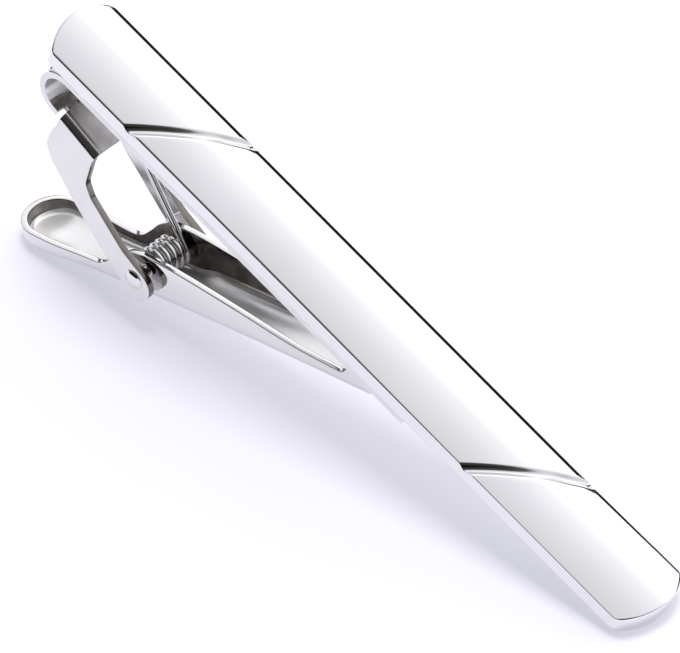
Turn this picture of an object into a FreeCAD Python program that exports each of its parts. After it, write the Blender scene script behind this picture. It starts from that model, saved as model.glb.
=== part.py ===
import FreeCAD, Part
import Sketcher
import math
import os

# Sprung tie clip: crowned bar, stamped clasp bracket soldered behind it, boat-shaped
# lever on a rivet, and a torsion spring that holds the jaw shut.
#
# The pieces are drawn in the bar's own frame: x along the bar towards its free end,
# y across it, z square to its face with z = 0 at the long top edges.  The clip is then
# laid down as it rests on a table: the thumb end of the lever and the free end of the
# bar touch z = 0, so the bar leans by "lean" about Y.

V = FreeCAD.Vector
doc = FreeCAD.newDocument("tie_clip")

# ------------------------------------------------------------------ dimensions (mm)
sheet = doc.addObject("Spreadsheet::Sheet", "Dims")
DIMS = [
    # bar
    ("bar_length", 58.5), ("bar_mid", 0.12), ("bar_width", 6.34), ("bar_side", 1.4), ("bar_crown", 0.50),
    ("end_depth", 1.3), ("edge_top", 0.12), ("edge_low", 0.22),
    ("cut_left", -17.15), ("cut_right", 16.25), ("cut_angle", 45.5), ("cut_width", 0.90),
    ("cut_depth", 0.21), ("cut_flat", 0.10), ("cut_sweep", 22.7),
    # solder film between the bar and the strip
    ("film", 0.05), ("film_width", 5.4), ("film_left", -25.4), ("film_right", 7.0),
    # clasp bracket
    ("plate", 0.5), ("strip_width", 6.0), ("strip_right", 7.4), ("bend_mid", -26.0),
    ("bend_in", 1.48), ("leg_slope", 10.0), ("leg_right", -21.85), ("ear_out", 3.05),
    ("ear_bend", 0.45),
    ("ear_ax", -25.45), ("ear_az", -6.20), ("ear_bx", -25.70), ("ear_bz", -7.30), ("ear_cx", -25.65), ("ear_cz", -8.75),
    ("ear_dx", -24.85), ("ear_dz", -9.75), ("ear_ex", -22.20), ("ear_ez", -11.45),
    ("ear_fx", -18.60), ("ear_fz", -13.36), ("ear_gx", -17.20), ("ear_gz", -11.70),
    ("ear_hx", -20.90), ("ear_hz", -9.82), ("ear_ix", -21.70), ("ear_iz", -8.95),
    ("ear_jz", -7.00), ("ear_soft", 0.7), ("relief", 0.35), ("relief_in", 2.45),
    ("eye_x", -15.25), ("eye_z", -13.48), ("eye_rad", 1.32), ("eye_low", 244.0), ("eye_top", 78.0),
    # rivet
    ("pin_x", -15.5), ("pin_z", -13.2), ("pin_rad", 0.55), ("head_rad", 0.76), ("head_rise", 0.30),
    # lever, drawn about the rivet: u along the lever to the jaw, w towards the bar
    ("lever_angle", 31.3), ("lever_width", 4.3), ("wall", 0.5), ("floor", 0.5),
    ("tail_width", 4.8), ("flare_from", -9.6), ("flare_to", -5.0),
    ("tail_end", -13.35), ("tail_low", -2.42), ("arch_u", 7.0), ("arch_low", -2.10),
    ("tip_end", 21.8), ("tip_low", -2.35), ("tip_tooth", -0.153), ("tooth_u", 20.1),
    ("rim_au", -10.6), ("rim_aw", -0.80), ("rim_zw", -0.58), ("rim_bu", -4.6), ("rim_bw", -0.96),
    ("rim_cu", -3.0), ("rim_cw", 0.05), ("rim_du", -1.5), ("rim_dw", 1.38), ("rim_eu", 0.4), ("rim_ew", 1.56),
    ("rim_fu", 4.0), ("rim_fw", 1.20), ("rim_gu", 9.8), ("rim_gw", 0.24), ("rim_hu", 15.0), ("rim_hw", -0.66),
    ("rim_iu", 19.2), ("rim_iw", -0.98),
    ("bore_rad", 0.60), ("tip_round", 0.35), ("low_round", 0.85), ("in_round", 0.35),
    # torsion spring
    ("wire_rad", 0.25), ("coil_rad", 1.07), ("coil_turns", 4.0), ("coil_pitch", 0.56),
    ("leg_up", 10.02), ("up_slope", 37.4), ("leg_low", 4.2), ("low_dip", 4.4),
    # resting pose
    ("lean", 20.6064), ("rest_x", 2.2661), ("rest_z", 11.5838),
]
num = {}
for i, (name, value) in enumerate(DIMS, start=1):
    sheet.set("A%d" % i, name)
    sheet.set("B%d" % i, repr(float(value)))
    sheet.setAlias("B%d" % i, name)
    num[name] = float(value)
doc.recompute()


class Q:
    """A number together with the sheet formula that drives it."""

    def __init__(self, val, text):
        self.val, self.text = float(val), text

    @staticmethod
    def of(o):
        return o if isinstance(o, Q) else Q(o, "%.9g" % o)

    def __add__(self, o):
        o = Q.of(o)
        return Q(self.val + o.val, "(%s + %s)" % (self.text, o.text))

    def __sub__(self, o):
        o = Q.of(o)
        return Q(self.val - o.val, "(%s - %s)" % (self.text, o.text))

    def __mul__(self, o):
        o = Q.of(o)
        return Q(self.val * o.val, "(%s * %s)" % (self.text, o.text))

    def __truediv__(self, o):
        o = Q.of(o)
        return Q(self.val / o.val, "(%s / %s)" % (self.text, o.text))

    def __radd__(self, o):
        return Q.of(o) + self

    def __rsub__(self, o):
        return Q.of(o) - self

    def __rmul__(self, o):
        return Q.of(o) * self

    def __neg__(self):
        return Q(-self.val, "(0 - %s)" % self.text)


def d(name):
    return Q(num[name], "Dims." + name)


def cosd(q):
    q = Q.of(q)
    return Q(math.cos(math.radians(q.val)), "cos(%s)" % q.text)


def sind(q):
    q = Q.of(q)
    return Q(math.sin(math.radians(q.val)), "sin(%s)" % q.text)


# ------------------------------------------------------------------ drawing helpers
def new_body(label):
    body = doc.addObject("PartDesign::Body", label)
    body.Label = label
    return body


def plane_of(body, role):
    return [f for f in body.Origin.OriginFeatures if f.Role == role][0]


def new_sketch(body, name, role):
    sk = body.newObject("Sketcher::SketchObject", name)
    sk.AttachmentSupport = [(plane_of(body, role), "")]
    sk.MapMode = "FlatFace"
    return sk


count = [0]


def drive(sk, index, q):
    count[0] += 1
    name = "k%d" % count[0]
    sk.renameConstraint(index, name)
    sk.setExpression("Constraints." + name, q.text)


def fix_point(sk, geo, pos, qx, qy):
    """Hold one point of a sketch at sheet-driven coordinates."""
    if abs(qx.val) < 1e-9:
        sk.addConstraint(Sketcher.Constraint("PointOnObject", geo, pos, -2))
    else:
        drive(sk, sk.addConstraint(Sketcher.Constraint("DistanceX", -1, 1, geo, pos, qx.val)), qx)
    if abs(qy.val) < 1e-9:
        sk.addConstraint(Sketcher.Constraint("PointOnObject", geo, pos, -1))
    else:
        drive(sk, sk.addConstraint(Sketcher.Constraint("DistanceY", -1, 1, geo, pos, qy.val)), qy)


def outline(sk, pts):
    """Closed outline.  pts: (x, y) or (x, y, radius): a radius bends the side that
    starts at that point into an arc, to the left of its travel if positive, to the
    right if negative."""
    n = len(pts)
    pts = [tuple(Q.of(c) for c in p) for p in pts]
    geos = []
    for i, p in enumerate(pts):
        q = pts[(i + 1) % n]
        a, b = V(p[0].val, p[1].val, 0), V(q[0].val, q[1].val, 0)
        if len(p) == 3:
            r = p[2].val
            chord = b - a
            half = chord.Length / 2.0
            rise = abs(r) - math.sqrt(max(r * r - half * half, 0.0))
            left = V(-chord.y, chord.x, 0).normalize()
            mid = (a + b) * 0.5 + left * (rise if r > 0 else -rise)
            geo = sk.addGeometry(Part.Arc(a, mid, b), False)
        else:
            geo = sk.addGeometry(Part.LineSegment(a, b), False)
        start = 1 if (sk.getPoint(geo, 1) - a).Length < (sk.getPoint(geo, 2) - a).Length else 2
        geos.append((geo, start, 3 - start, len(p) == 3, p[2] if len(p) == 3 else None))
    for i in range(n):
        g, s, e, _, _ = geos[i]
        g2, s2, _, _, _ = geos[(i + 1) % n]
        sk.addConstraint(Sketcher.Constraint("Coincident", g, e, g2, s2))
    for i, p in enumerate(pts):
        fix_point(sk, geos[i][0], geos[i][1], p[0], p[1])
    for g, s, e, arc, r in geos:
        if arc:
            size = r if r.val > 0 else -r
            drive(sk, sk.addConstraint(Sketcher.Constraint("Radius", g, size.val)), size)


def ring(sk, qx, qy, qr):
    geo = sk.addGeometry(Part.Circle(V(qx.val, qy.val, 0), V(0, 0, 1), qr.val), False)
    fix_point(sk, geo, 3, qx, qy)
    drive(sk, sk.addConstraint(Sketcher.Constraint("Radius", geo, qr.val)), qr)


def pad(body, name, sk, length, symmetric=False, reverse=False):
    f = body.newObject("PartDesign::Pad", name)
    f.Profile = sk
    if symmetric:
        f.SideType = "Symmetric"
    f.Reversed = reverse
    f.setExpression("Length", length.text)
    doc.recompute()
    return f


def pocket(body, name, sk, length, symmetric=False, reverse=False):
    before = body.Shape.Volume
    f = body.newObject("PartDesign::Pocket", name)
    f.Profile = sk
    if symmetric:
        f.SideType = "Symmetric"
    f.Reversed = reverse
    f.setExpression("Length", length.text)
    doc.recompute()
    if not body.Shape.Volume < before - 1e-4:
        raise RuntimeError("%s cut nothing" % name)
    return f


def pick(shape, test):
    names = []
    for i, e in enumerate(shape.Edges, start=1):
        if test(e):
            names.append("Edge%d" % i)
    return names


def round_edges(body, name, base, test, radius):
    names = pick(base.Shape, test)
    if not names:
        raise RuntimeError("%s found no edges" % name)
    f = body.newObject("PartDesign::Fillet", name)
    f.Base = (base, names)
    f.setExpression("Radius", radius.text)
    doc.recompute()
    return f


def spots(e, count=5):
    a, b = e.ParameterRange
    return [e.valueAt(a + (b - a) * k / (count - 1.0)) for k in range(count)]


# ------------------------------------------------------------------ 1. front bar
bar = new_body("front_bar")
half_l, half_w = d("bar_length") / 2, d("bar_width") / 2
end_rad = (half_w * half_w + d("end_depth") * d("end_depth")) / (2 * d("end_depth"))
sk = new_sketch(bar, "bar_plan", "XY_Plane")
sk.setExpression("AttachmentOffset.Base.z", (-d("bar_side")).text)
xe = half_l - d("end_depth")
bm = d("bar_mid")
outline(sk, [(bm - xe, -half_w), (bm + xe, -half_w, -end_rad), (bm + xe, half_w), (bm - xe, half_w, -end_rad)])
block = pad(bar, "bar_block", sk, d("bar_side") + d("bar_crown") + 1)
crown_rad = half_w * half_w / (2 * d("bar_crown")) + d("bar_crown") / 2
over = half_w + 0.4
sk = new_sketch(bar, "bar_crown_cut", "YZ_Plane")
# the crown's circle, carried a little past the bar's sides
over_z = num["bar_crown"] - (crown_rad.val - math.sqrt(crown_rad.val ** 2 - over.val ** 2))
half_text = "(%s - (%s - sqrt(%s * %s - %s * %s)))" % (
    d("bar_crown").text, crown_rad.text, crown_rad.text, crown_rad.text, over.text, over.text)
over_zq = Q(over_z, half_text)
outline(sk, [(-over, over_zq, crown_rad), (over, over_zq), (over, d("bar_crown") + 2), (-over, d("bar_crown") + 2)])
crown = pocket(bar, "bar_crowned", sk, d("bar_length") + 4, symmetric=True)
tip_edges = lambda e: all(p.z > -0.75 for p in spots(e)) and e.Length > 2.0
low_edges = lambda e: all(p.z < -num["bar_side"] + 0.01 for p in spots(e))
soft = round_edges(bar, "bar_top_edge", crown, tip_edges, d("edge_top"))
soft = round_edges(bar, "bar_low_edge", soft, low_edges, d("edge_low"))
for side in ("left", "right"):
    sk = new_sketch(bar, "cut_%s_profile" % side, "YZ_Plane")
    sk.AttachmentOffset = FreeCAD.Placement(V(0, num["bar_crown"] - num["cut_sweep"], num["cut_" + side]),
                                            FreeCAD.Rotation(V(0, 1, 0), num["cut_angle"]))
    sk.setExpression("AttachmentOffset.Base.y", (d("bar_crown") - d("cut_sweep")).text)
    sk.setExpression("AttachmentOffset.Base.z", d("cut_" + side).text)
    sk.setExpression("AttachmentOffset.Rotation.Angle", d("cut_angle").text)
    top, low = d("cut_sweep") + 0.15, d("cut_sweep") - d("cut_depth")
    wide = d("cut_width") * (d("cut_depth") + 0.15) / d("cut_depth") / 2
    outline(sk, [(-d("cut_flat"), low), (d("cut_flat"), low), (wide, top), (-wide, top)])
    before = bar.Shape.Volume
    f = bar.newObject("PartDesign::Groove", "cut_" + side)
    f.Profile = sk
    f.ReferenceAxis = (sk, ["H_Axis"])
    f.Midplane = True
    f.Angle = 40.0
    doc.recompute()
    if not bar.Shape.Volume < before - 0.1:
        raise RuntimeError("the diagonal cut is missing")

# ------------------------------------------------------------------ 2. solder film
film = new_body("solder_film")
sk = new_sketch(film, "film_plan", "XY_Plane")
sk.setExpression("AttachmentOffset.Base.z", (-d("bar_side") - d("film")).text)
fw = d("film_width") / 2
outline(sk, [(d("film_left"), -fw), (d("film_right"), -fw), (d("film_right"), fw), (d("film_left"), fw)])
pad(film, "film_pad", sk, d("film"))

# ------------------------------------------------------------------ 3. clasp bracket
bracket = new_body("clasp_bracket")
t = d("plate")
r_in, r_out = d("bend_in"), d("bend_in") + t
top = -d("bar_side") - d("film")
bx, bz = d("bend_mid"), top - r_out
cs, sn = cosd(d("leg_slope")), sind(d("leg_slope"))
# the bend leaves the circle where the return leg starts to slope away
ox, oz = bx - r_out * sn, bz - r_out * cs
ix, iz = bx - r_in * sn, bz - r_in * cs
tan = sn / cs
leg_top = lambda x: iz - (x - ix) * tan
leg_low = lambda x: oz - (x - ox) * tan
lx = d("leg_right")
sk = new_sketch(bracket, "strip_side", "XZ_Plane")
outline(sk, [(d("strip_right"), top), (bx, top, -r_out), (ox, oz), (lx, leg_low(lx)), (lx, leg_top(lx)),
             (ix, iz, r_in), (bx, top - t), (d("strip_right"), top - t)])
strip = pad(bracket, "strip_pad", sk, d("strip_width"), symmetric=True)

# a relief slot at each side lets the ear fold without tearing the U-bend
sk = new_sketch(bracket, "relief_plan", "XY_Plane")
sk.setExpression("AttachmentOffset.Base.z", (bz - r_out - 1).text)
ra, rb, rw, ro = d("ear_ax") - d("relief"), d("ear_ax"), d("relief_in"), d("ear_out")
outline(sk, [(ra, -ro), (rb, -ro), (rb, -rw), (ra, -rw)])
cut_near = pocket(bracket, "relief_near", sk, r_in + 1, reverse=True)
sk = new_sketch(bracket, "relief_plan_far", "XY_Plane")
sk.setExpression("AttachmentOffset.Base.z", (bz - r_out - 1).text)
outline(sk, [(ra, rw), (rb, rw), (rb, ro), (ra, ro)])
cut_far = pocket(bracket, "relief_far", sk, r_in + 1, reverse=True)

sk = new_sketch(bracket, "ear_side", "XZ_Plane")
sk.setExpression("AttachmentOffset.Base.z", d("ear_out").text)
ex, ez, er = d("eye_x"), d("eye_z"), d("eye_rad")
low_x, low_z = ex + er * cosd(d("eye_low")), ez + er * sind(d("eye_low"))
top_x, top_z = ex + er * cosd(d("eye_top")), ez + er * sind(d("eye_top"))
right_x, right_z = ex + er * cosd(341), ez + er * sind(341)
outline(sk, [
    (d("ear_ax"), leg_top(d("ear_ax"))), (d("ear_ax"), d("ear_az")), (d("ear_bx"), d("ear_bz")),
    (d("ear_cx"), d("ear_cz")),
    (d("ear_dx"), d("ear_dz")), (d("ear_ex"), d("ear_ez")), (d("ear_fx"), d("ear_fz")),
    (low_x, low_z, -er), (right_x, right_z, -er), (top_x, top_z), (d("ear_gx"), d("ear_gz")),
    (d("ear_hx"), d("ear_hz")), (d("ear_ix"), d("ear_iz")), (lx, d("ear_jz")), (lx, leg_top(lx))])
ear = pad(bracket, "ear_near", sk, t, reverse=True)
far = bracket.newObject("PartDesign::Mirrored", "ear_far")
far.Originals = [ear]
far.MirrorPlane = (plane_of(bracket, "XZ_Plane"), [""])
bracket.Tip = far
doc.recompute()
sk = new_sketch(bracket, "rivet_holes", "XZ_Plane")
ring(sk, d("pin_x"), d("pin_z"), d("pin_rad"))
holes = pocket(bracket, "rivet_hole", sk, 4 * d("ear_out"), symmetric=True)
eo = num["ear_out"]
corners = [(num["ear_%sx" % k], num["ear_%sz" % k]) for k in "bcdgi"]
corners += [(num["ear_hx"], num["ear_hz"])]
holes = round_edges(bracket, "ear_corners", holes,
                    lambda e: abs(e.Length - num["plate"]) < 1e-6 and
                    any(math.dist((spots(e)[0].x, spots(e)[0].z), c) < 1e-4 and
                        math.dist((spots(e)[-1].x, spots(e)[-1].z), c) < 1e-4 for c in corners), d("ear_soft"))
# bend between the return leg and each ear
bent = round_edges(bracket, "ear_bends", holes,
                   lambda e: all(abs(abs(p.y) - eo) < 1e-6 for p in spots(e)) and
                   all(abs(p.z - leg_top(Q.of(p.x)).val) < 1e-4 for p in spots(e)), d("ear_bend"))

# ------------------------------------------------------------------ 4. clip lever
lever = new_body("clip_lever")
lw = d("lever_width")


def through3(a, b, c):
    """Radius of the circle through three points, as a plain number."""
    ab, bc, ca = math.dist(a, b), math.dist(b, c), math.dist(c, a)
    area = abs((b[0] - a[0]) * (c[1] - a[1]) - (c[0] - a[0]) * (b[1] - a[1])) / 2.0
    return ab * bc * ca / (4.0 * area)


rim = [(d("tail_end"), d("rim_zw")), (d("rim_au"), d("rim_aw")), (d("rim_bu"), d("rim_bw")),
       (d("rim_cu"), d("rim_cw")), (d("rim_du"), d("rim_dw")), (d("rim_eu"), d("rim_ew")),
       (d("rim_fu"), d("rim_fw")), (d("rim_gu"), d("rim_gw")), (d("rim_hu"), d("rim_hw")),
       (d("rim_iu"), d("rim_iw")), (d("tooth_u"), d("tip_tooth")), (d("tip_end"), d("tip_tooth"))]
low_a = (num["tail_end"], num["tail_low"])
low_b = (num["arch_u"], num["arch_low"])
low_c = (num["tip_end"], num["tip_low"])
arch = through3(low_a, low_b, low_c)
sk = new_sketch(lever, "lever_side", "XZ_Plane")
outline(sk, rim + [(d("tip_end"), d("tip_low"), Q.of(-arch)), (d("tail_end"), d("tail_low"))])
hull = pad(lever, "lever_hull", sk, 2 * d("tail_width"), symmetric=True)


def plan(body, name, inset, corner):
    """Plan of the lever, drawn in by inset: even along the jaw, flared to a round thumb end."""
    jaw, thumb = lw / 2 - inset, d("tail_width") / 2 - inset
    ua, ub, end, nose = d("flare_from"), d("flare_to"), d("tail_end") + inset, d("tip_end") - inset
    um, ym = (ua + ub) / 2, (jaw + thumb) / 2
    run, lift = (ub - ua) / 2, (thumb - jaw) / 2
    sway = (run * run + lift * lift) / (2 * lift)
    turn = end + thumb
    if corner is None:
        tip = [(nose, -jaw), (nose, jaw)]
    else:
        tip = [(nose - corner, -jaw, -corner), (nose, corner - jaw), (nose, jaw - corner, -corner), (nose - corner, jaw)]
    sk = new_sketch(body, name, "XY_Plane")
    outline(sk, [(turn, -thumb), (ua, -thumb, -sway), (um, -ym, sway), (ub, -jaw)] + tip +
            [(ub, jaw, sway), (um, ym, -sway), (ua, thumb), (turn, thumb, -thumb), (end, Q.of(0), -thumb)])
    return sk


def cross(body, name, other):
    before = body.Shape.Volume
    f = body.newObject("PartDesign::Boolean", name)
    f.Type = "Common"
    f.setObjects([other])
    body.Tip = f
    doc.recompute()
    if not 0.1 * before < body.Shape.Volume < before - 1e-3:
        raise RuntimeError("%s did not trim the body" % name)
    return f


shape_plan = new_body("lever_plan")
pad(shape_plan, "lever_plan_pad", plan(shape_plan, "lever_plan_line", Q.of(0), d("tip_round")), Q.of(12), symmetric=True)
nose = cross(lever, "lever_planned", shape_plan)


def on_low(p):
    # is the point on the arched underside?
    cx, cz, r = low_circle
    return abs(math.hypot(p.x - cx, p.z - cz) - r) < 2e-3


def circle_of(a, b, c):
    A = 2 * (b[0] - a[0]); B = 2 * (b[1] - a[1])
    C = 2 * (c[0] - a[0]); D = 2 * (c[1] - a[1])
    e = b[0] ** 2 - a[0] ** 2 + b[1] ** 2 - a[1] ** 2
    f = c[0] ** 2 - a[0] ** 2 + c[1] ** 2 - a[1] ** 2
    det = A * D - B * C
    x, z = (e * D - B * f) / det, (A * f - e * C) / det
    return x, z, math.dist((x, z), a)


low_circle = circle_of(low_a, low_b, low_c)
under = round_edges(lever, "under_round_off", nose, lambda e: all(on_low(p) for p in spots(e)), d("low_round"))
# the hollow, open towards the bar, is shaped as a body of its own and taken out
fl = d("floor")
core = new_body("lever_core")
sk = new_sketch(core, "core_side", "XZ_Plane")
in_a = (num["tail_end"] + num["wall"], num["tail_low"] + num["floor"])
in_c = (num["tip_end"] - num["wall"], num["tip_low"] + num["floor"])
in_b = (num["arch_u"], num["arch_low"] + num["floor"])
low_in = circle_of(in_a, in_b, in_c)
ta, te = d("tail_end") + d("wall"), d("tip_end") - d("wall")
outline(sk, [(ta, d("rim_ew") + 1), (te, d("rim_ew") + 1), (te, d("tip_low") + fl, Q.of(-low_in[2])),
             (ta, d("tail_low") + fl)])
pad(core, "core_pad", sk, 2 * d("tail_width"), symmetric=True)
core_plan = new_body("core_plan")
pad(core_plan, "core_plan_pad", plan(core_plan, "core_plan_line", d("wall"), None), Q.of(12), symmetric=True)
hollow = cross(core, "core_planned", core_plan)
hollow = round_edges(core, "core_low", hollow,
                     lambda e: all(abs(math.hypot(p.x - low_in[0], p.z - low_in[1]) - low_in[2]) < 2e-3
                                   for p in spots(e)), d("in_round"))
before = lever.Shape.Volume
cut = lever.newObject("PartDesign::Boolean", "lever_hollow")
cut.Type = "Cut"
cut.setObjects([core])
lever.Tip = cut
doc.recompute()
if not lever.Shape.Volume < before * 0.6:
    raise RuntimeError("the lever is not hollow")
sk = new_sketch(lever, "lever_bores", "XZ_Plane")
ring(sk, Q.of(0), Q.of(0), d("bore_rad"))
pocket(lever, "lever_bore", sk, 2 * lw, symmetric=True)

# ------------------------------------------------------------------ 5. pivot rivet
rivet = new_body("pivot_rivet")
sk = new_sketch(rivet, "rivet_half", "XY_Plane")
eoq, hr, hh, pr = d("ear_out"), d("head_rad"), d("head_rise"), d("pin_rad")
neck = hh * 0.35
dome = (hr * 0.82 * hr * 0.82 + (hh - neck) * (hh - neck)) / (2 * (hh - neck))
outline(sk, [
    (Q.of(0), -eoq - hh, -dome), (hr * 0.82, -eoq - neck), (hr, -eoq - neck * 0.55), (hr, -eoq), (pr, -eoq),
    (pr, eoq), (hr, eoq), (hr, eoq + neck * 0.55), (hr * 0.82, eoq + neck, -dome), (Q.of(0), eoq + hh)])
turn = rivet.newObject("PartDesign::Revolution", "rivet_turned")
turn.Profile = sk
turn.ReferenceAxis = (sk, ["V_Axis"])
turn.Angle = 360.0
doc.recompute()

# ------------------------------------------------------------------ 6. torsion spring
# Drawn about the rivet in the bar's directions, coil axis along y.  The lower leg lies on
# the lever's floor and enters the near end of the coil from below; the upper leg leaves
# the far end from above and runs up under the return leg.
cr, wr = num["coil_rad"], num["wire_rad"]
low_dir = math.radians(180.0 + num["lever_angle"] + num["low_dip"])
up_dir = math.radians(180.0 - num["up_slope"])
begin = low_dir + math.pi / 2.0
finish = up_dir - math.pi / 2.0
sweep = (finish - begin) % (2 * math.pi) + 2 * math.pi * num["coil_turns"]
ease = math.radians(40.0)
per = num["coil_pitch"] / (2 * math.pi)
rise = per * (sweep - ease)


def coil_y(s):
    if s < ease:
        y = per * s * s / (2 * ease)
    elif s > sweep - ease:
        y = rise - per * (sweep - s) ** 2 / (2 * ease)
    else:
        y = per * (s - ease / 2)
    return y - rise / 2


def coil_at(s):
    return V(cr * math.cos(begin + s), coil_y(s), cr * math.sin(begin + s))


def coil_way(s):
    if s < ease:
        rate = per * s / ease
    elif s > sweep - ease:
        rate = per * (sweep - s) / ease
    else:
        rate = per
    return V(-cr * math.sin(begin + s), rate, cr * math.cos(begin + s))


# the coil is drawn in spans of about a quarter turn, each tangent to the next
cuts = [0.0, ease]
spans = int(math.ceil((sweep - 2 * ease) / math.radians(90.0)))
cuts += [ease + (sweep - 2 * ease) * k / spans for k in range(1, spans)]
cuts += [sweep - ease, sweep]
way_in = V(-math.cos(low_dir), 0, -math.sin(low_dir))
way_out = V(math.cos(up_dir), 0, math.sin(up_dir))
foot = coil_at(0) - way_in * num["leg_low"]
head = coil_at(sweep) + way_out * num["leg_up"]
edges = [Part.makeLine(foot, coil_at(0))]
for s0, s1 in zip(cuts[:-1], cuts[1:]):
    span = Part.BSplineCurve()
    span.interpolate(Points=[coil_at(s0 + (s1 - s0) * k / 4.0) for k in range(5)],
                     InitialTangent=coil_way(s0) * (s1 - s0), FinalTangent=coil_way(s1) * (s1 - s0),
                     Parameters=[0.0, 0.25, 0.5, 0.75, 1.0])
    edges.append(span.toShape())
edges.append(Part.makeLine(coil_at(sweep), head))
path = Part.Wire(edges)
section = Part.Wire([Part.makeCircle(wr, foot, way_in)])
spring = doc.addObject("Part::Feature", "torsion_spring")
spring.Shape = Part.Solid(Part.Shell(path.makePipeShell([section], True, False).Faces))

# ------------------------------------------------------------------ lay the clip down
lean, rx, rz = d("lean"), d("rest_x"), d("rest_z")
px = rx + d("pin_x") * cosd(lean) + d("pin_z") * sind(lean)
pz = rz - d("pin_x") * sind(lean) + d("pin_z") * cosd(lean)


def lay(obj, x, z, angle, axis):
    obj.Placement = FreeCAD.Placement(V(x.val, 0, z.val), FreeCAD.Rotation(axis, angle.val))
    obj.setExpression("Placement.Base.x", x.text)
    obj.setExpression("Placement.Base.z", z.text)
    obj.setExpression("Placement.Rotation.Angle", angle.text)


for obj in (bar, film, bracket):
    lay(obj, rx, rz, lean, V(0, 1, 0))
for obj in (rivet, spring):
    lay(obj, px, pz, lean, V(0, 1, 0))
lay(lever, px, pz, d("lever_angle") - lean, V(0, -1, 0))
doc.recompute()

# ------------------------------------------------------------------ check and write
for obj in doc.Objects:
    if "Invalid" in obj.State or "Error" in obj.State:
        raise RuntimeError("%s did not rebuild: %s" % (obj.Name, obj.State))
os.makedirs("parts", exist_ok=True)
for obj in (bar, film, bracket, lever, rivet, spring):
    shape = obj.Shape
    if not shape.isValid() or len(shape.Solids) != 1 or shape.Volume <= 0:
        raise RuntimeError("%s: valid %s, solids %d, volume %g" % (
            obj.Label, shape.isValid(), len(shape.Solids), shape.Volume))
    shape.exportStep("parts/%s.step" % obj.Label)
    box = shape.optimalBoundingBox(False)
    print("%-14s %8.3f mm3   x %.3f..%.3f  y %.3f..%.3f  z %.3f..%.3f" % (
        obj.Label, shape.Volume, box.XMin, box.XMax, box.YMin, box.YMax, box.ZMin, box.ZMax))
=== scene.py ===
import bpy, bmesh, math
import numpy as np
from mathutils import Matrix, Vector


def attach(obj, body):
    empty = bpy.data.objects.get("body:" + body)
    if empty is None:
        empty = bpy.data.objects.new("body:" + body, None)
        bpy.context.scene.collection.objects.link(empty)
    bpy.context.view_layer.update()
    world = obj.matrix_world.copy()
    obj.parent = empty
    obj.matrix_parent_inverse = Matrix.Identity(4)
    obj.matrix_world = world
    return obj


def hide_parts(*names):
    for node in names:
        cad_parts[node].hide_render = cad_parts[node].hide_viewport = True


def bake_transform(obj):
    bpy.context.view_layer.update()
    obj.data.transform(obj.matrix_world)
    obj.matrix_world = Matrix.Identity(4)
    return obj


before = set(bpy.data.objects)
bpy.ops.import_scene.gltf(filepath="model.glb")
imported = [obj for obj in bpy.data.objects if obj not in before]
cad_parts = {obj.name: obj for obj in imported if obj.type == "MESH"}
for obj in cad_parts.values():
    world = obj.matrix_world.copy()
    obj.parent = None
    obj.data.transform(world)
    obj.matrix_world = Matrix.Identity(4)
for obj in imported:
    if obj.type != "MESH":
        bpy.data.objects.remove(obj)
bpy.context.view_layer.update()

ROOT, LEVER = "bar_and_clasp", "lever"

# ------------------------------------------------------------------ frames
# Shapes are drawn in millimetres in the bar's own frame (x along the bar, y across it, z square to
# its face, z = 0 at the long top edges) and then leaned and set down as the CAD model is.
LEAN = math.radians(20.6064)
REST_X, REST_Z = 2.2661, 11.5838
CL, SL = math.cos(LEAN), math.sin(LEAN)
PIN_X, PIN_Z = -15.5, -13.2
ALPHA = math.radians(31.3)
CA, SA = math.cos(ALPHA), math.sin(ALPHA)


def to_row(p):
    """Bar frame in mm to the row frame in metres."""
    p = np.asarray(p, float).reshape(-1, 3)
    return np.stack([p[:, 0] * CL + p[:, 2] * SL + REST_X, p[:, 1],
                     -p[:, 0] * SL + p[:, 2] * CL + REST_Z], axis=1) / 1000.0


def lever_to_bar(p):
    """Lever frame (u along the lever, y, w square to it, about the rivet) to the bar frame, mm."""
    p = np.asarray(p, float).reshape(-1, 3)
    return np.stack([PIN_X + p[:, 0] * CA - p[:, 2] * SA, p[:, 1],
                     PIN_Z + p[:, 0] * SA + p[:, 2] * CA], axis=1)


def dir_row(v):
    x, y, z = v
    return Vector((x * CL + z * SL, y, -x * SL + z * CL))


def make(name, verts, faces, merge=2e-7, smooth=True):
    me = bpy.data.meshes.new(name)
    me.from_pydata([tuple(v) for v in to_row(verts)], [], faces)
    ob = bpy.data.objects.new(name, me)
    bpy.context.scene.collection.objects.link(ob)
    bm = bmesh.new()
    bm.from_mesh(me)
    bmesh.ops.remove_doubles(bm, verts=bm.verts, dist=merge)
    bmesh.ops.dissolve_degenerate(bm, dist=merge, edges=bm.edges)
    bmesh.ops.recalc_face_normals(bm, faces=bm.faces)
    bm.to_mesh(me)
    bm.free()
    for p in me.polygons:
        p.use_smooth = smooth
    return ob


def grid_faces(rows, cols, close_rows=False, close_cols=False):
    out = []
    for i in range(rows if close_rows else rows - 1):
        for j in range(cols if close_cols else cols - 1):
            a, b = i * cols + j, i * cols + (j + 1) % cols
            c, d = ((i + 1) % rows) * cols + (j + 1) % cols, ((i + 1) % rows) * cols + j
            out.append((a, b, c, d))
    return out


def weighted(ob):
    m = ob.modifiers.new("even_normals", "WEIGHTED_NORMAL")
    m.keep_sharp = True
    m.weight = 60
    return m


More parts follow.
